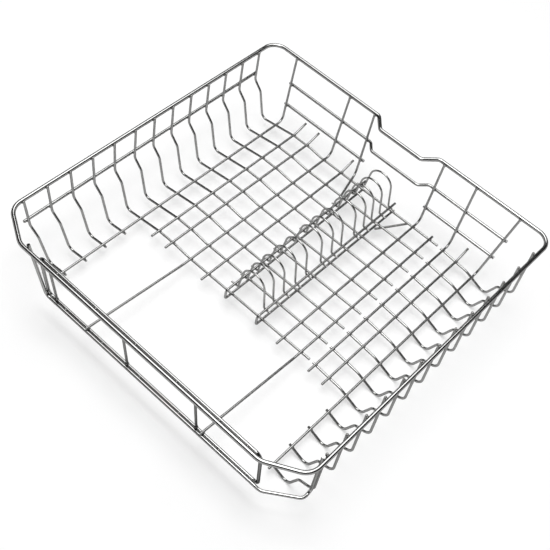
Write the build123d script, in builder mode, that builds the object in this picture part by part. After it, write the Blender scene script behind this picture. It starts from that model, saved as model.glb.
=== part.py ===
"""Lower dishwasher basket, welded from round steel wire.

X runs from the left wall to the right wall, Y from the front to the back and Z up, in millimetres.
The origin lies under the middle of the rim, at the height of the lowest wire.
Every wire is a circle swept along its bent centre line, and wires that cross touch at a weld.
"""
import os
from math import atan, cos, sin

from build123d import *

# Wire diameters
rim_wire = 6.0
rail_wire = 4.5
floor_wire = 3.5
arch_wire = 2.8
weld_gap = 0.05

# Rim: centre line of the closed top loop
rim_width = 520.0
rim_depth = 537.0
rim_back_bend = 22.0
rim_chamfer_x = 53.0
rim_chamfer_y = 30.0
rim_chamfer_bend = 25.0
notch_x = 6.0
notch_half_width = 57.0
notch_floor_half_width = 38.0
notch_depth = 21.0
notch_bend = 8.0

# Side wires: thirteen on each side, spread between the rim's front and back runs
side_count = 13
first_side_inset = 61.0
last_side_inset = 41.6
short_count = 4

# The first few on the left splay forward
front_splay = 15.0
splayed_count = 5
wire_tip = 3.0
bend = 10.0

# Left wall and the floor that hangs from it, as drops below the rim and insets from the wall
left_step = 14.0
left_step_top_drop = 51.0
left_step_bottom_drop = 66.0
left_corner_inset = 26.0
left_corner_drop = 114.0
left_rail_drop = 42.0
left_crest_inset = 92.2
left_dip_inset = 127.2
left_flat_inset = 150.2
floor_end_gap = 6.0
crest_drop = 103.0
flat_drop = 106.0

# Right wall with its ledge, and the floor that hangs from it
ledge_inner_drop = 98.0
ledge_outer_drop = 92.0
ledge_inner_inset = 22.7
ledge_bend = 8.0
outer_bend = 12.0
right_corner_inset = 35.7
right_corner_drop = 129.0
right_floor_bend_inset = 73.2
right_floor_bend_drop = 113.0
right_floor_end_inset = 124.2
right_floor_end_drop = 107.0

# Back wall: lean of the uprights, and the drops of the two rails
back_lean = 0.23
upper_rail_drop = 44.0
lower_rail_drop = 79.0
upper_rail_notch_x = 10.0
upper_rail_notch_depth = 14.0
upper_rail_notch_half_width = 56.0
upper_rail_notch_floor = 44.0
upright_bend = 12.0
end_overhang = 5.0

# Longitudinal floor wires, counted from the left: insets from the walls, and x beside the rack
left_wire_inset = {"1": 56.2, "2": 93.2, "3": 120.7, "4": 157.2}
middle_wire_x = {"5": -63.0, "6": -47.0, "7": 79.0}
right_wire_inset = {"8": 144.7, "9": 118.7, "10": 93.7, "11": 62.2}
upright_shift = {"1": -12.0, "4": -6.0, "6": -9.5, "7": -4.5, "9": -4.0, "11": 16.0}
brace_end = (-31.0, 182.0)
grid_front_y = -79.0
grid_back_inset = 16.5
edge_front_inset = 52.5
tie_back_inset = 36.5
short_rise = 8.0
short_rise_run = 26.0

# Front: the loop behind the rim, and the frame wire under it
front_lean = 0.12
loop_left_inset = 85.0
loop_right_inset = 56.0
loop_bottom_drop = 88.0
loop_bend = 9.0
frame_top_inset = 63.0
frame_chamfer_inset = 48.0
frame_side_inset = 55.5
frame_turn_inset = 41.5
corner_upright_inset = 100.5
left_upright_x = -25.0
right_upright_x = 99.0
frame_bend = 15.0
tie_clearance = 0.5

# Plate rack: two hairpin rails and a row of arches
rack_x = 7.6
rack_half_width = 29.1
rack_front_y = -74.0
rack_back_y = 230.0
rack_run_gap = 19.0
hairpin_bend = 5.0
arch_y = (-55.0, -36.5, -15.0, 9.0, 31.5, 63.5, 87.5, 109.0, 138.0, 160.5, 179.0, 198.5, 220.0)
arch_top_drop = 41.0
arch_waist = 24.5
arch_shoulder = 16.8
arch_foot = 36.5
arch_foot_bend = 4.0
arch_shoulder_bend = 19.3
hook_start = (40.2, 183.0)
hook_end = (68.0, 230.0)

rim_radius = rim_wire / 2
rail_radius = rail_wire / 2
floor_radius = floor_wire / 2
arch_radius = arch_wire / 2
half_width = rim_width / 2
half_depth = rim_depth / 2
floor_stack = 2 * floor_radius + weld_gap
rail_stack = floor_radius + rail_radius + weld_gap
left_wall_x = -(half_width - rim_radius - floor_radius - weld_gap)
right_wall_x = -left_wall_x
side_pitch = (rim_depth - first_side_inset - last_side_inset) / (side_count - 1)
side_y = [first_side_inset - half_depth + side_pitch * k for k in range(side_count)]
back_upright_y = half_depth - (rim_radius + floor_radius + weld_gap) / cos(atan(back_lean))
grid_back_y = half_depth - grid_back_inset
edge_front_y = edge_front_inset - half_depth

# Where the longitudinals lie on the floor, and where the uprights among them meet the rim
floor_x = {name: left_wall_x + inset for name, inset in left_wire_inset.items()}
floor_x.update(middle_wire_x)
floor_x.update({name: right_wall_x - inset for name, inset in right_wire_inset.items()})
rim_x = {name: floor_x[name] + shift for name, shift in upright_shift.items()}

# The right floor and its ledge, from the right wall
ledge_inner_x = right_wall_x - ledge_inner_inset
right_corner_x = right_wall_x - right_corner_inset
right_floor_bend_x = right_wall_x - right_floor_bend_inset
right_floor_end_x = right_wall_x - right_floor_end_inset
left_floor_end_x = right_floor_end_x - floor_end_gap

# The lowest wire is the round floor corner of the right side wires, which sets the rim's height
floor_tilt = atan((right_corner_drop - right_floor_bend_drop) / (right_corner_x - right_floor_bend_x))
wall_tilt = atan((right_corner_drop - ledge_inner_drop) / (ledge_inner_x - right_corner_x))
corner_rise = bend * ((sin(floor_tilt) + sin(wall_tilt)) / sin(floor_tilt + wall_tilt) - 1)
rim_height = right_corner_drop - corner_rise + floor_radius
wire_top = rim_height + wire_tip

os.makedirs("parts", exist_ok=True)


def below_rim(drop):
    """Height of a point that lies a given drop under the rim's centre."""
    return rim_height - drop


def bent_wire(points, radius, bends):
    """Sweeps a round wire along straight runs joined by tangent bends."""
    with BuildPart() as piece:
        with BuildLine() as centre_line:
            FilletPolyline(*points, radius=bends)
        with BuildSketch(Plane(centre_line.line ^ 0)):
            Circle(radius)
        sweep()
    return piece


def straight_wire(start, end, radius):
    """A straight piece of round wire between two points."""
    with BuildPart() as piece:
        with BuildLine() as centre_line:
            Line(start, end)
        with BuildSketch(Plane(centre_line.line ^ 0)):
            Circle(radius)
        sweep()
    return piece


def keep(piece, name):
    """Labels a finished piece and writes its file."""
    piece.part.label = name
    export_step(piece.part, f"parts/{name}.step")


# The floor profiles, shared by the side wires and by the wires that lie on them
left_floor = [
    (left_wall_x + left_corner_inset, below_rim(left_corner_drop)),
    (left_wall_x + left_crest_inset, below_rim(crest_drop)),
    (left_wall_x + left_dip_inset, below_rim(crest_drop)),
    (left_wall_x + left_flat_inset, below_rim(flat_drop)),
    (left_floor_end_x, below_rim(flat_drop)),
]
right_floor = [
    (right_floor_end_x, below_rim(right_floor_end_drop)),
    (right_floor_bend_x, below_rim(right_floor_bend_drop)),
    (right_corner_x, below_rim(right_corner_drop)),
]


def resting_height(x, profile):
    """Height of a longitudinal wire that lies on the side wires' floor profile at x."""
    for (x0, z0), (x1, z1) in zip(profile, profile[1:]):
        if x0 <= x <= x1:
            slope = (z1 - z0) / (x1 - x0)
            return z0 + slope * (x - x0) + floor_stack / cos(atan(slope))
    raise ValueError(f"no floor under x = {x}")


def floor_height(x):
    """Height of a longitudinal wire at x, on the left or on the right floor."""
    return resting_height(x, left_floor if x <= left_floor_end_x else right_floor)


# Rim, closed, with front chamfers and the notch that clears the pipe at the back
rim_outline = [
    (half_width - rim_chamfer_x, -half_depth),
    (half_width, -half_depth + rim_chamfer_y),
    (half_width, half_depth),
    (notch_x + notch_half_width, half_depth),
    (notch_x + notch_floor_half_width, half_depth - notch_depth),
    (notch_x - notch_floor_half_width, half_depth - notch_depth),
    (notch_x - notch_half_width, half_depth),
    (-half_width, half_depth),
    (-half_width, -half_depth + rim_chamfer_y),
    (-half_width + rim_chamfer_x, -half_depth),
]
rim_bends = [rim_chamfer_bend] * 2 + [rim_back_bend] + [notch_bend] * 4 + [rim_back_bend]
rim_bends += [rim_chamfer_bend] * 2
with BuildPart() as rim:
    with BuildLine(Plane.XY.offset(rim_height)) as rim_line:
        FilletPolyline(*rim_outline, radius=rim_bends, close=True)
    with BuildSketch(Plane(rim_line.line ^ 0)):
        Circle(rim_radius)
    sweep()
keep(rim, "rim_wire")

# Left side wires: the first four stop at the first longitudinal, the rest cross the floor
left_wall = [
    (left_wall_x, wire_top),
    (left_wall_x, below_rim(left_step_top_drop)),
    (left_wall_x + left_step, below_rim(left_step_bottom_drop)),
]
short_end_x = floor_x["1"] + end_overhang
short_slope = (left_floor[1][1] - left_floor[0][1]) / (left_floor[1][0] - left_floor[0][0])
short_end_z = left_floor[0][1] + short_slope * (short_end_x - left_floor[0][0])


def splayed_y(k, z):
    """Where a left side wire stands at a height: the first few lean forward at the top."""
    corner_z = left_floor[0][1]
    share = max(0.0, (z - corner_z) / (wire_top - corner_z))
    return side_y[k] - front_splay * max(0.0, 1 - k / splayed_count) * share


for k in range(side_count):
    if k < short_count:
        profile = left_wall + [left_floor[0], (short_end_x, short_end_z)]
        bends = [bend] * 3
    else:
        profile = left_wall + left_floor
        bends = [bend] * 3 + [2 * bend] * 3
    points = [(x, splayed_y(k, z), z) for x, z in profile]
    keep(bent_wire(points, floor_radius, bends), f"left_side_wire_{k + 1}")

# Right side wires, with the ledge low down on the wall
right_wall = [
    (right_corner_x, below_rim(right_corner_drop)),
    (ledge_inner_x, below_rim(ledge_inner_drop)),
    (right_wall_x, below_rim(ledge_outer_drop)),
    (right_wall_x, wire_top),
]
right_bends = [bend, ledge_bend, outer_bend]
edge_end_x = floor_x["11"] - end_overhang
edge_slope = (right_floor[2][1] - right_floor[1][1]) / (right_floor[2][0] - right_floor[1][0])
edge_end_z = right_floor[2][1] + edge_slope * (edge_end_x - right_floor[2][0])
for k, y in enumerate(side_y):
    if k < short_count:
        profile = [(edge_end_x, edge_end_z)] + right_wall
        bends = right_bends
    else:
        profile = right_floor[:2] + right_wall
        bends = [2 * bend] + right_bends
    keep(bent_wire([(x, y, z) for x, z in profile], floor_radius, bends), f"right_side_wire_{k + 1}")

# Left mid rail, outside the side wires
left_rail_x = left_wall_x - rail_stack
left_rail_z = below_rim(left_rail_drop)
left_rail = straight_wire(
    (left_rail_x, splayed_y(0, left_rail_z) - end_overhang, left_rail_z),
    (left_rail_x, side_y[-1] + end_overhang, left_rail_z),
    rail_radius,
)
keep(left_rail, "left_mid_rail")


def upright_y(z):
    """Where the leaning uprights of the back wall stand at a height."""
    return back_upright_y - back_lean * (rim_height - z)


def upright_wire(name, front_y, front_points=()):
    """A longitudinal that runs along the floor and turns up the back wall to the rim."""
    x = floor_x[name]
    z = floor_height(x)
    points = list(front_points) + [
        (x, front_y, z),
        (x, upright_y(z), z),
        (rim_x[name], upright_y(wire_top), wire_top),
    ]
    return bent_wire(points, floor_radius, [4 * bend] * len(front_points) + [upright_bend])


# The front loop and the frame wire in front of it lean in towards the floor
loop_left_x = loop_left_inset - half_width
loop_right_x = half_width - loop_right_inset
loop_y = -(half_depth - rim_radius - rail_radius - weld_gap)
loop_bottom_y = loop_y + front_lean * loop_bottom_drop
loop_bottom_z = below_rim(loop_bottom_drop)
frame_bottom_y = loop_bottom_y - rail_wire - weld_gap
tie_z = loop_bottom_z + rail_stack + tie_clearance

# Longitudinals that turn up the back wall; the fourth also runs forward to the front loop
for name in ("1", "11"):
    keep(upright_wire(name, edge_front_y), f"floor_wire_{name}")
for name in ("7", "9"):
    keep(upright_wire(name, grid_front_y), f"floor_wire_{name}")
tied = upright_wire("4", grid_front_y, [(floor_x["4"], frame_bottom_y, tie_z)])
keep(tied, "floor_wire_4")

# Short longitudinals with a free back end that lifts a little
for name in ("2", "3", "5", "10"):
    x = floor_x[name]
    z = floor_height(x)
    points = [
        (x, grid_front_y, z),
        (x, grid_back_y - short_rise_run, z),
        (x, grid_back_y, z + short_rise),
    ]
    keep(bent_wire(points, floor_radius, 3 * bend), f"floor_wire_{name}")

# The tie that joins the floor to the front loop, with a free back end
tie_x = floor_x["8"]
tie_floor_z = floor_height(tie_x)
tie_points = [
    (tie_x, frame_bottom_y, tie_z),
    (tie_x, grid_front_y, tie_floor_z),
    (tie_x, half_depth - tie_back_inset, tie_floor_z),
]
keep(bent_wire(tie_points, floor_radius, 4 * bend), "floor_wire_8")

# The third upright from the left ends in a slanted brace beside the plate rack
brace_z = floor_height(floor_x["6"])
brace_points = [
    (rim_x["6"], upright_y(wire_top), wire_top),
    (floor_x["6"], upright_y(brace_z), brace_z),
    (*brace_end, brace_z),
]
keep(bent_wire(brace_points, floor_radius, upright_bend), "floor_wire_6")

# Back rails, outside the uprights
rail_offset = rail_stack / cos(atan(back_lean))
upper_z = below_rim(upper_rail_drop)
upper_y = upright_y(upper_z) + rail_offset
lower_z = below_rim(lower_rail_drop)
lower_y = upright_y(lower_z) + rail_offset


def upright_x(name, z):
    """Where an upright of the back wall stands across the basket at a height."""
    z_floor = floor_height(floor_x[name])
    share = (z - z_floor) / (wire_top - z_floor)
    return floor_x[name] + share * (rim_x[name] - floor_x[name])


upper_notch_y = upper_y - upper_rail_notch_depth
upper_points = [
    (upright_x("1", upper_z) - end_overhang, upper_y, upper_z),
    (upper_rail_notch_x - upper_rail_notch_half_width, upper_y, upper_z),
    (upper_rail_notch_x - upper_rail_notch_floor, upper_notch_y, upper_z),
    (upper_rail_notch_x + upper_rail_notch_floor, upper_notch_y, upper_z),
    (upper_rail_notch_x + upper_rail_notch_half_width, upper_y, upper_z),
    (upright_x("11", upper_z) + end_overhang, upper_y, upper_z),
]
keep(bent_wire(upper_points, rail_radius, notch_bend), "back_upper_rail")
for side, first, last in (("left", "1", "6"), ("right", "7", "11")):
    rail = straight_wire(
        (upright_x(first, lower_z) - end_overhang, lower_y, lower_z),
        (upright_x(last, lower_z) + end_overhang, lower_y, lower_z),
        rail_radius,
    )
    keep(rail, f"back_lower_rail_{side}")

# Front loop: a closed rectangle of rail wire just behind the rim
loop_outline = [
    (loop_left_x, loop_y, rim_height),
    (loop_right_x, loop_y, rim_height),
    (loop_right_x, loop_bottom_y, loop_bottom_z),
    (loop_left_x, loop_bottom_y, loop_bottom_z),
]
with BuildPart() as loop:
    with BuildLine() as loop_line:
        FilletPolyline(*loop_outline, radius=loop_bend, close=True)
    with BuildSketch(Plane(loop_line.line ^ 0)):
        Circle(rail_radius)
    sweep()
keep(loop, "front_loop")

# Frame wire: from the rim down to the front of the loop, round the right-hand corner and up again
frame_side_x = half_width - rim_radius - rail_radius - weld_gap
frame_side_y = frame_side_inset - half_depth
frame_points = [
    (frame_top_inset - half_width, loop_y, wire_top),
    (loop_left_x, frame_bottom_y, loop_bottom_z),
    (half_width - frame_chamfer_inset, frame_bottom_y, loop_bottom_z),
    (frame_side_x, frame_turn_inset - half_depth, loop_bottom_z),
    (frame_side_x, frame_side_y, loop_bottom_z),
    (frame_side_x, frame_side_y, wire_top),
]
keep(bent_wire(frame_points, rail_radius, [bend, frame_bend, bend, ledge_bend]), "front_frame_wire")

# Front uprights, butted between the two long runs of the loop
corner_upright_x = corner_upright_inset - half_width
for side, x in (("corner", corner_upright_x), ("left", left_upright_x), ("right", right_upright_x)):
    upright = straight_wire(
        (x, loop_bottom_y, loop_bottom_z + rail_radius + weld_gap),
        (x, loop_y, rim_height - rail_radius - weld_gap),
        floor_radius,
    )
    keep(upright, f"front_upright_{side}")

# Plate rack rails: upright hairpins, with the lower run under the side wires
run_bottom = below_rim(flat_drop) - floor_stack
run_top = run_bottom + rack_run_gap
for side, x in (("left", rack_x - rack_half_width), ("right", rack_x + rack_half_width)):
    points = [
        (x, rack_back_y, run_top),
        (x, rack_front_y, run_top),
        (x, rack_front_y, run_bottom),
        (x, rack_back_y, run_bottom),
    ]
    keep(bent_wire(points, floor_radius, hairpin_bend), f"rack_rail_{side}")

# Plate rack arches: feet turned out under the upper runs, legs that close in towards a round top
foot_z = run_top - floor_radius - arch_radius - weld_gap
arch_top_z = below_rim(arch_top_drop)
arch_outline = [
    (-arch_foot, foot_z),
    (-arch_waist, foot_z),
    (-arch_shoulder, arch_top_z),
    (arch_shoulder, arch_top_z),
    (arch_waist, foot_z),
    (arch_foot, foot_z),
]
arch_bends = [arch_foot_bend] + [arch_shoulder_bend] * 2 + [arch_foot_bend]
arch_points = [(rack_x + x, 0, z) for x, z in arch_outline]
arch = bent_wire(arch_points, arch_radius, arch_bends)
with BuildPart() as arches:
    for y in arch_y:
        with Locations((0, y, 0)):
            add(arch.part)
keep(arches, "rack_arches")

# Free hook under the floor, beside the right-hand rail
hook = straight_wire((*hook_start, run_bottom), (*hook_end, run_bottom), floor_radius)
keep(hook, "rack_hook")
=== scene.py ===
# %% [markdown]
# # A dishwasher's lower basket, dressed over its CAD frame
# The basket is bent and welded from round stainless wire in four gauges. The wires themselves are
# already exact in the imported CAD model, so this lesson loads them as they are, and adds what a
# maker's hand leaves on them: the small weld nuggets where two wires cross, the rounded tips where
# a wire was cropped, and the bright drawn finish of the steel. Everything is in metres.

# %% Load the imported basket
import bpy
from math import cos, pi, radians, sin
from mathutils import Matrix, Vector


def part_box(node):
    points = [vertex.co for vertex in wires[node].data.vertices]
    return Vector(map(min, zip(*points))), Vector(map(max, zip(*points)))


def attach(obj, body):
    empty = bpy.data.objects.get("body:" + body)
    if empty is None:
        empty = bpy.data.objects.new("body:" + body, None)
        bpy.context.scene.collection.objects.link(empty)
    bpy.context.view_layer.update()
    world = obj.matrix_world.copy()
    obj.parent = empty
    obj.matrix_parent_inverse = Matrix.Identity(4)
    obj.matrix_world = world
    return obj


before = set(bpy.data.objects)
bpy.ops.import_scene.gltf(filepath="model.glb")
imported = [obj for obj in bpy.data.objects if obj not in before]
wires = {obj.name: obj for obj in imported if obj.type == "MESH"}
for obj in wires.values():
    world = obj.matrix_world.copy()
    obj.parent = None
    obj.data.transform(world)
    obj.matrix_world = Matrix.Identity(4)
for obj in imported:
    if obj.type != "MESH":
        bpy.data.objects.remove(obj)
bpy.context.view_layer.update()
print("wires loaded:", len(wires))

# %% [markdown]
# ## The camera
# The photograph looks down on the basket from its front right corner with a fairly long lens, and
# the camera was held slightly turned. A camera can be aimed with a tracking constraint, but a
# constraint can't hold the turn, so its three axes are written out from three angles instead.

# %% Place the camera
mm = 0.001
rim_low, rim_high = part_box("rim_wire")
rim_z = (rim_low.z + rim_high.z) / 2
azimuth = radians(32.207)
elevation = radians(52.539)
turn = radians(12.811)
camera_spot = Vector((472.5 * mm, -745.6 * mm, rim_z + 1053.0 * mm))
picture_size = 550
focal_pixels = 1038.2

backward = Vector((sin(azimuth) * cos(elevation), -cos(azimuth) * cos(elevation), sin(elevation)))
level = Vector((cos(azimuth), sin(azimuth), 0))
upward = backward.cross(level)
camera_x = cos(turn) * level + sin(turn) * upward
camera_y = cos(turn) * upward - sin(turn) * level

bpy.ops.object.select_all(action="DESELECT")
bpy.ops.object.camera_add()
camera = bpy.context.object
camera.name = "camera"
camera.data.sensor_width = 36
camera.data.lens = focal_pixels / picture_size * camera.data.sensor_width
camera.data.clip_end = 50
place = Matrix((camera_x, camera_y, backward)).transposed().to_4x4()
place.translation = camera_spot
camera.matrix_world = place
bpy.context.scene.camera = camera
print("lens in mm:", round(camera.data.lens, 1))

# %% [markdown]
# ## Shader sums as plain sums
# A finish is a tree of nodes, and sums in it are chains of Math nodes that are tedious to read.
# `Socket` wraps one output so that `0.2 + 0.1 * spots` adds those Math nodes by itself, and
# `Tree.node` makes any other node: its settings come first, because some of them change which
# sockets the node has, and then the values or links of its inputs.

# %% A socket that can be added and multiplied
class Socket:
    def __init__(self, tree, out):
        self.tree = tree
        self.out = out

    def sum(self, operation, first, second):
        return self.tree.node("ShaderNodeMath", {"operation": operation}, {0: first, 1: second})

    def __add__(self, other):
        return self.sum("ADD", self, other)

    def __radd__(self, other):
        return self.sum("ADD", other, self)

    def __mul__(self, other):
        return self.sum("MULTIPLY", self, other)

    def __rmul__(self, other):
        return self.sum("MULTIPLY", other, self)


class Tree:
    def __init__(self, owner):
        owner.use_nodes = True
        self.nodes = owner.node_tree.nodes
        self.links = owner.node_tree.links
        self.nodes.clear()

    def node(self, kind, settings, sockets, output=0):
        made = self.nodes.new(kind)
        for name, value in settings.items():
            if name == "stops":
                for stop, (position, grey) in zip(made.color_ramp.elements, value):
                    stop.position = position
                    stop.color = (grey, grey, grey, 1)
            else:
                setattr(made, name, value)
        for name, value in sockets.items():
            if isinstance(value, Socket):
                self.links.new(value.out, made.inputs[name])
            else:
                made.inputs[name].default_value = value
        return Socket(self, made.outputs[output]) if len(made.outputs) else made


print("shader helpers ready")

# %% [markdown]
# ## The studio
# The basket stands on a plain white floor. White that comes from stronger lamps would burn the
# steel out, so the floor is partly its own light for the rays that the camera and the metal send
# to it, and partly a plain matt surface, which keeps the basket's soft shadow. Far from the basket,
# where the lamps don't reach, its own light takes over, so that the floor stays pale in every view.

# %% Lay the floor
near_share = 0.42
far_share = 0.95
fade_start = 0.6
fade_end = 1.7


def studio_floor():
    bpy.ops.object.select_all(action="DESELECT")
    bpy.ops.mesh.primitive_circle_add(vertices=64, radius=9, fill_type="NGON")
    floor = bpy.context.object
    floor.name = "studio_floor"
    paint = bpy.data.materials.new("white_studio_floor")
    tree = Tree(paint)
    seen = tree.node("ShaderNodeLightPath", {}, {}, "Is Camera Ray")
    mirrored = tree.node("ShaderNodeLightPath", {}, {}, "Is Glossy Ray")
    through = tree.node("ShaderNodeLightPath", {}, {}, "Is Transmission Ray")
    place = tree.node("ShaderNodeTexCoord", {}, {}, "Object")
    distance = tree.node("ShaderNodeVectorMath", {"operation": "LENGTH"}, {0: place}, "Value")
    own_light = tree.node("ShaderNodeMapRange", {},
                          {"Value": distance, "From Min": fade_start, "From Max": fade_end,
                           "To Min": near_share, "To Max": far_share})
    matt = tree.node("ShaderNodeBsdfDiffuse", {}, {"Color": (0.90, 0.90, 0.90, 1)})
    white = tree.node("ShaderNodeEmission", {}, {"Color": (1, 1, 1, 1), "Strength": 1.0})
    share = own_light * (seen + mirrored + through)
    mixed = tree.node("ShaderNodeMixShader", {}, {0: share, 1: matt, 2: white})
    tree.node("ShaderNodeOutputMaterial", {}, {"Surface": mixed})
    floor.data.materials.append(paint)
    return floor


print("floor:", studio_floor().name)

# %% [markdown]
# Polished wire has almost no colour of its own: what shows on it is the room. A room that is white
# all over would make it vanish, so this one is pale low down, grey half way up and pale again
# overhead. Each wire then carries a light line between two darker ones, as in the photograph.

# %% Shade the room and hang the soft lamps
room = bpy.data.worlds.new("studio_room")
bpy.context.scene.world = room
room_tree = Tree(room)
looking = room_tree.node("ShaderNodeTexCoord", {}, {}, "Generated")
height = room_tree.node("ShaderNodeSeparateXYZ", {}, {"Vector": looking}, "Z")
pale_to_grey = [(0.03, 0.94), (0.28, 0.03)]
grey_to_pale = [(0.80, 0.0), (0.97, 0.50)]
walls = room_tree.node("ShaderNodeValToRGB", {"stops": pale_to_grey}, {"Fac": height})
ceiling = room_tree.node("ShaderNodeValToRGB", {"stops": grey_to_pale}, {"Fac": height})
glow = room_tree.node("ShaderNodeMix", {"data_type": "RGBA", "blend_type": "ADD"},
                      {"Factor": 1.0, "A": walls, "B": ceiling}, "Result")
sky = room_tree.node("ShaderNodeBackground", {}, {"Color": glow, "Strength": 1.0})
room_tree.node("ShaderNodeOutputWorld", {}, {"Surface": sky})

basket_middle = Vector((0, 0, 0.05))


def soft_lamp(name, where, size, watts):
    bpy.ops.object.select_all(action="DESELECT")
    bpy.ops.object.light_add(type="AREA", location=where)
    lamp = bpy.context.object
    lamp.name = name
    lamp.data.shape = "DISK"
    lamp.data.size = size
    lamp.data.energy = watts
    aim = basket_middle - lamp.location
    lamp.rotation_euler = aim.to_track_quat("-Z", "Y").to_euler()
    return lamp


key_lamp = soft_lamp("key_lamp", (-0.45, 0.55, 2.1), 2.0, 36)
fill_lamp = soft_lamp("fill_lamp", (0.25, -0.35, 2.15), 1.5, 26)
print("lamps:", key_lamp.name, fill_lamp.name)

bpy.context.scene.view_settings.view_transform = "Standard"

# %% [markdown]
# ## The steel
# The wire is stainless, drawn through a die and then brightened in an acid bath. It is a plain
# metal with a low roughness, but not an even one: the bath leaves cloudy patches a few centimetres
# long, the die leaves fine marks, and rinsing leaves small dull spots. Noise at three scales gives
# these to the colour, the roughness and a very shallow bump. A dark specular tint takes the light
# off the wire's edges, where a metal would otherwise mirror the white floor. The rim, the rails and
# the arches look smoother in the photograph than the plain wires, so they get a lower roughness.

# %% Mix the bright drawn steel
def bright_drawn_steel(name, dullness, grey):
    steel = bpy.data.materials.new(name)
    tree = Tree(steel)
    place = tree.node("ShaderNodeTexCoord", {}, {}, "Object")
    clouds = tree.node("ShaderNodeTexNoise", {},
                       {"Vector": place, "Scale": 34.0, "Detail": 3.0}, "Fac")
    marks = tree.node("ShaderNodeTexNoise", {},
                      {"Vector": place, "Scale": 900.0, "Detail": 2.0}, "Fac")
    drops = tree.node("ShaderNodeTexVoronoi", {}, {"Vector": place, "Scale": 120.0}, "Distance")
    spots = tree.node("ShaderNodeMapRange", {},
                      {"Value": drops, "From Min": 0.10, "From Max": 0.22,
                       "To Min": 1.0, "To Max": 0.0})
    light = [1.06 * shade for shade in grey]
    dark = [0.84 * shade for shade in grey]
    colour = tree.node("ShaderNodeMix", {"data_type": "RGBA"},
                       {"Factor": clouds, "A": (*dark, 1), "B": (*light, 1)}, "Result")
    rough = dullness + 0.10 * clouds + 0.04 * marks + 0.08 * spots
    bump = tree.node("ShaderNodeBump", {},
                     {"Strength": 0.03, "Distance": 0.0001, "Height": marks + 0.4 * spots})
    metal = tree.node("ShaderNodeBsdfPrincipled", {},
                      {"Base Color": colour, "Metallic": 1.0, "Roughness": rough, "Normal": bump,
                       "Specular Tint": (0.12, 0.12, 0.12, 1)})
    tree.node("ShaderNodeOutputMaterial", {}, {"Surface": metal})
    return steel


wire_grey = (0.34, 0.34, 0.336)
weld_grey = (0.26, 0.257, 0.252)
rim_grey = (0.38, 0.38, 0.376)
wire_steel = bright_drawn_steel("bright_drawn_steel", 0.17, wire_grey)
weld_steel = bright_drawn_steel("fused_weld_steel", 0.30, weld_grey)
rim_steel = bright_drawn_steel("polished_rim_steel", 0.07, rim_grey)
polished = ("rim_wire", "front_loop", "front_frame_wire", "left_mid_rail", "rack_arches",
            "back_upper_rail", "back_lower_rail_left", "back_lower_rail_right")
for name, wire in wires.items():
    wire.data.materials.clear()
    wire.data.materials.append(rim_steel if name in polished else wire_steel)
print("wires finished:", len(wires), "of them polished:", len(polished))

# %% [markdown]
# ## Weld nuggets
# Where two wires cross, a press squeezes them between electrodes and the current melts a small
# nugget that squeezes out into the four corners of the crossing. One nugget is modelled from a
# coarse sphere, flattened and widened near its poles, and then copied to every crossing. A sphere
# of a few dozen faces is enough, because there are more than two hundred of them.

# %% Model one weld nugget
def weld_nugget():
    bpy.ops.object.select_all(action="DESELECT")
    bpy.ops.mesh.primitive_uv_sphere_add(segments=10, ring_count=6, radius=1.0)
    nugget = bpy.context.object
    bpy.ops.object.mode_set(mode="EDIT")
    bpy.ops.mesh.select_all(action="SELECT")
    bpy.ops.transform.resize(value=(1.0, 1.0, 0.62))
    bpy.ops.mesh.select_all(action="DESELECT")
    bpy.ops.object.mode_set(mode="OBJECT")
    for corner in nugget.data.vertices:
        corner.select = abs(corner.co.z) > 0.5
    bpy.ops.object.mode_set(mode="EDIT")
    bpy.ops.transform.resize(value=(1.25, 1.25, 0.85))
    bpy.ops.object.mode_set(mode="OBJECT")
    bpy.ops.object.shade_smooth()
    nugget.data.materials.append(weld_steel)
    return nugget


nugget = weld_nugget()
print("nugget faces:", len(nugget.data.polygons))

# %% [markdown]
# The crossings are found on the wires themselves. A ray comes back along the joining line and stops
# on the first wire's outer face. A second, short ray goes on from there, and if it meets the other
# wire within a hair's breadth the two touch, and the nugget belongs between the two faces.

# %% Find where two wires touch
reach = 0.6
hair = 1.2 * mm
back_off = 0.5 * mm
directions = {
    "+x": (1, 0, 0), "-x": (-1, 0, 0),
    "+y": (0, 1, 0), "-y": (0, -1, 0),
    "+z": (0, 0, 1), "-z": (0, 0, -1),
}


def weld_spot(first, second, spot, direction):
    ray = Vector(directions[direction])
    hit, face, _, _ = wires[first].ray_cast(Vector(spot) + reach * ray, -ray)
    if not hit:
        return None
    met, far, _, _ = wires[second].ray_cast(face - back_off * ray, ray, distance=back_off + hair)
    return (face + far) / 2 if met else None


def middle(name):
    low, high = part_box(name)
    return (low + high) / 2


bpy.context.view_layer.update()
print("rays ready")

# %% [markdown]
# ## Placing the nuggets
# Each group of welds becomes one piece. A copy of the nugget gets its own mesh, and its size and
# place are written into that mesh, because a finished piece sits at the origin as the wires do.

# %% Copy a small shape to a list of places
turns = {
    "+x": Matrix.Rotation(pi / 2, 4, "Y"), "-x": Matrix.Rotation(-pi / 2, 4, "Y"),
    "+y": Matrix.Rotation(-pi / 2, 4, "X"), "-y": Matrix.Rotation(pi / 2, 4, "X"),
    "+z": Matrix(), "-z": Matrix.Rotation(pi, 4, "X"),
}


def copied_group(name, shape, places):
    copies = []
    for point, direction, radius in places:
        copy = shape.copy()
        copy.data = shape.data.copy()
        copy.data.transform(Matrix.Translation(point) @ turns[direction] @ Matrix.Scale(radius, 4))
        bpy.context.scene.collection.objects.link(copy)
        copies.append(copy)
    bpy.ops.object.select_all(action="DESELECT")
    for copy in copies:
        copy.select_set(True)
    bpy.context.view_layer.objects.active = copies[0]
    bpy.ops.object.join()
    group = bpy.context.object
    group.name = name
    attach(group, "root")
    print(name, "copies:", len(places))
    return group


def weld_group(name, pairs, radius):
    places = []
    for first, second, spot, direction in pairs:
        point = weld_spot(first, second, spot, direction)
        if point:
            places.append((point, direction, radius))
    return copied_group(name, nugget, places)


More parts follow.
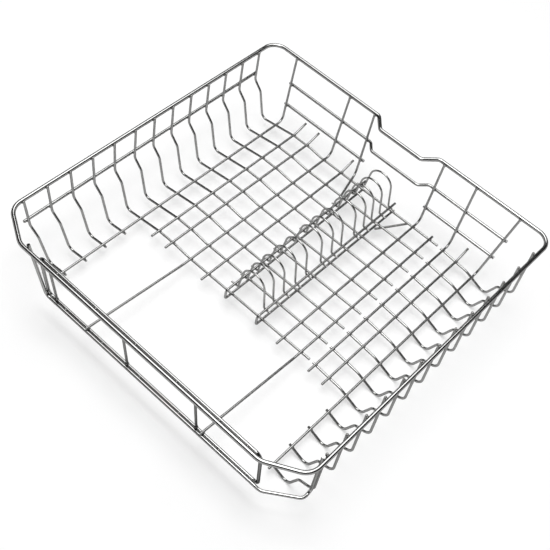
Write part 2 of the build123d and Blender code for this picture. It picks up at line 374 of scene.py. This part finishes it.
# %% [markdown]
# The side wires stand inside the rim, and the left wall also has a rail half way down. The first
# few wires on the left lean forward, so each wire's place is taken at the height of the weld.

# %% Weld the side wires to the rim and the rail
wire_radius = 1.75 * mm
rail_radius = 2.25 * mm
corner_drop = 114 * mm
corner_z = rim_z - corner_drop
numbers = range(1, 14)
left_wires = [f"left_side_wire_{number}" for number in numbers]
right_wires = [f"right_side_wire_{number}" for number in numbers]


def wire_y(name, z):
    low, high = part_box(name)
    share = max(0, (z - corner_z) / (high.z - corner_z))
    return high.y - wire_radius - share * (high.y - low.y - 2 * wire_radius)


rail_z = middle("left_mid_rail").z
wall_pairs = []
for name in left_wires:
    wall_pairs.append((name, "rim_wire", (0, wire_y(name, rim_z), rim_z), "-x"))
    wall_pairs.append((name, "left_mid_rail", (0, wire_y(name, rail_z), rail_z), "-x"))
for name in right_wires:
    wall_pairs.append((name, "rim_wire", (0, wire_y(name, rim_z), rim_z), "+x"))
weld_group("wall_welds", wall_pairs, 2.6 * mm)

# %% [markdown]
# On the floor the long wires lie across the side wires, so the joining line runs up. Every long
# wire is tried with every side wire, and the pairs that don't cross find nothing.

# %% Weld the floor wires
floor_x = {
    1: -199, 2: -162, 3: -134.5, 4: -98, 5: -63, 6: -47,
    7: 79, 8: 110.5, 9: 136.5, 10: 161.5, 11: 193,
}
floor_pairs = []
for number, x in floor_x.items():
    for name in left_wires + right_wires:
        floor_pairs.append((name, f"floor_wire_{number}", (x * mm, wire_y(name, 0), 0), "+z"))
weld_group("floor_welds", floor_pairs, 2.5 * mm)

# %% [markdown]
# The plate rack's arches have their feet turned out under the rails' upper runs. The lower runs lie
# under the side wires that cross the floor.

# %% Weld the plate rack
arch_y = (-55, -36.5, -15, 9, 31.5, 63.5, 87.5, 109, 138, 160.5, 179, 198.5, 220)
rack_pairs = []
for rail in ("rack_rail_left", "rack_rail_right"):
    x = middle(rail).x
    for y in arch_y:
        rack_pairs.append(("rack_arches", rail, (x, y * mm, 0), "+z"))
    for name in left_wires:
        rack_pairs.append((name, rail, (x, wire_y(name, 0), 0), "-z"))
weld_group("rack_welds", rack_pairs, 2.2 * mm)

# %% [markdown]
# Six of the long wires turn up the back wall and lean sideways a little on their way to the rim, so
# their place across the basket is found between their floor end and their top.

# %% Weld the back wall
rim_x = {1: -211, 4: -104, 6: -56.5, 7: 74.5, 9: 132.5, 11: 209}
back_pairs = []
for number, top_x in rim_x.items():
    name = f"floor_wire_{number}"
    low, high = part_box(name)
    for rail in ("rim_wire", "back_upper_rail", "back_lower_rail_left", "back_lower_rail_right"):
        z = middle(rail).z
        share = (z - low.z) / (high.z - low.z)
        x = (floor_x[number] + share * (top_x - floor_x[number])) * mm
        back_pairs.append((name, rail, (x, 0, z), "+y"))
weld_group("back_welds", back_pairs, 2.8 * mm)

# %% [markdown]
# At the front the closed loop is tacked to the rim and to the frame wire, the two ties lie on its
# lower run, and three uprights stand between its runs.

# %% Weld the front
loop_low, loop_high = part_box("front_loop")
_, frame_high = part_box("front_frame_wire")
loop_bottom_z = loop_low.z + rail_radius
loop_bottom_y = loop_high.y - rail_radius
frame_leg_y = frame_high.y - rail_radius
tack_x = (-140, -70, 0, 70, 140, 185)
ties = (4, 8)
front_pairs = [("front_frame_wire", "rim_wire", (0, frame_leg_y, rim_z), "+x")]
for x in tack_x:
    front_pairs.append(("front_loop", "rim_wire", (x * mm, 0, rim_z), "-y"))
    front_pairs.append(("front_loop", "front_frame_wire", (x * mm, 0, loop_bottom_z), "-y"))
for number in ties:
    spot = (floor_x[number] * mm, loop_bottom_y, 0)
    front_pairs.append((f"floor_wire_{number}", "front_loop", spot, "-z"))
for side in ("corner", "left", "right"):
    name = f"front_upright_{side}"
    low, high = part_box(name)
    x = middle(name).x
    front_pairs.append((name, "front_loop", (x, high.y - wire_radius, 0), "-z"))
    front_pairs.append((name, "front_loop", (x, low.y + wire_radius, 0), "+z"))
weld_group("front_welds", front_pairs, 2.8 * mm)

# %% [markdown]
# ## Wire tips
# A cropped wire is tumbled until its edge is gone, so the free ends that show get a shallow dome.
# The dome is a sphere whose lower half is pressed flat, so it stays closed, and it is set on the
# tops of the side wires, the front ends of the floor wires and the ends of the rails.

# %% Model one rounded tip
def rounded_tip():
    bpy.ops.object.select_all(action="DESELECT")
    bpy.ops.mesh.primitive_uv_sphere_add(segments=12, ring_count=6, radius=1.0)
    tip = bpy.context.object
    bpy.ops.object.mode_set(mode="EDIT")
    bpy.ops.mesh.select_all(action="DESELECT")
    bpy.ops.object.mode_set(mode="OBJECT")
    for corner in tip.data.vertices:
        corner.select = corner.co.z < -0.01
    bpy.ops.object.mode_set(mode="EDIT")
    bpy.ops.transform.resize(value=(1.0, 1.0, 0.1), center_override=(0, 0, 0))
    bpy.ops.mesh.select_all(action="SELECT")
    bpy.ops.transform.resize(value=(1.0, 1.0, 0.55), center_override=(0, 0, 0))
    bpy.ops.object.mode_set(mode="OBJECT")
    bpy.ops.object.shade_smooth()
    tip.data.materials.append(weld_steel)
    return tip


tip = rounded_tip()
print("tip faces:", len(tip.data.polygons))

# %% Set a tip on each free end
free_at_front = (1, 2, 3, 5, 7, 9, 10, 11)
tip_places = []
for name in left_wires + right_wires:
    low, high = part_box(name)
    x = low.x + wire_radius if name in left_wires else high.x - wire_radius
    tip_places.append((Vector((x, wire_y(name, high.z), high.z)), "+z", wire_radius))
for number in free_at_front:
    low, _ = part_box(f"floor_wire_{number}")
    end = Vector((floor_x[number] * mm, low.y, low.z + wire_radius))
    tip_places.append((end, "-y", wire_radius))
for rail in ("rack_rail_left", "rack_rail_right"):
    low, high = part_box(rail)
    for z in (low.z + wire_radius, high.z - wire_radius):
        tip_places.append((Vector((middle(rail).x, high.y, z)), "+y", wire_radius))
rail_low, rail_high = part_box("left_mid_rail")
rail_middle = middle("left_mid_rail")
tip_places.append((Vector((rail_middle.x, rail_low.y, rail_z)), "-y", rail_radius))
tip_places.append((Vector((rail_middle.x, rail_high.y, rail_z)), "+y", rail_radius))
copied_group("wire_tips", tip, tip_places)

# %% [markdown]
# ## Finishing
# The one nugget and the one tip that were only copied from are removed. The visual model has to
# stay in the CAD model's box.

# %% Remove the shapes that were copied
bpy.data.objects.remove(nugget)
bpy.data.objects.remove(tip)
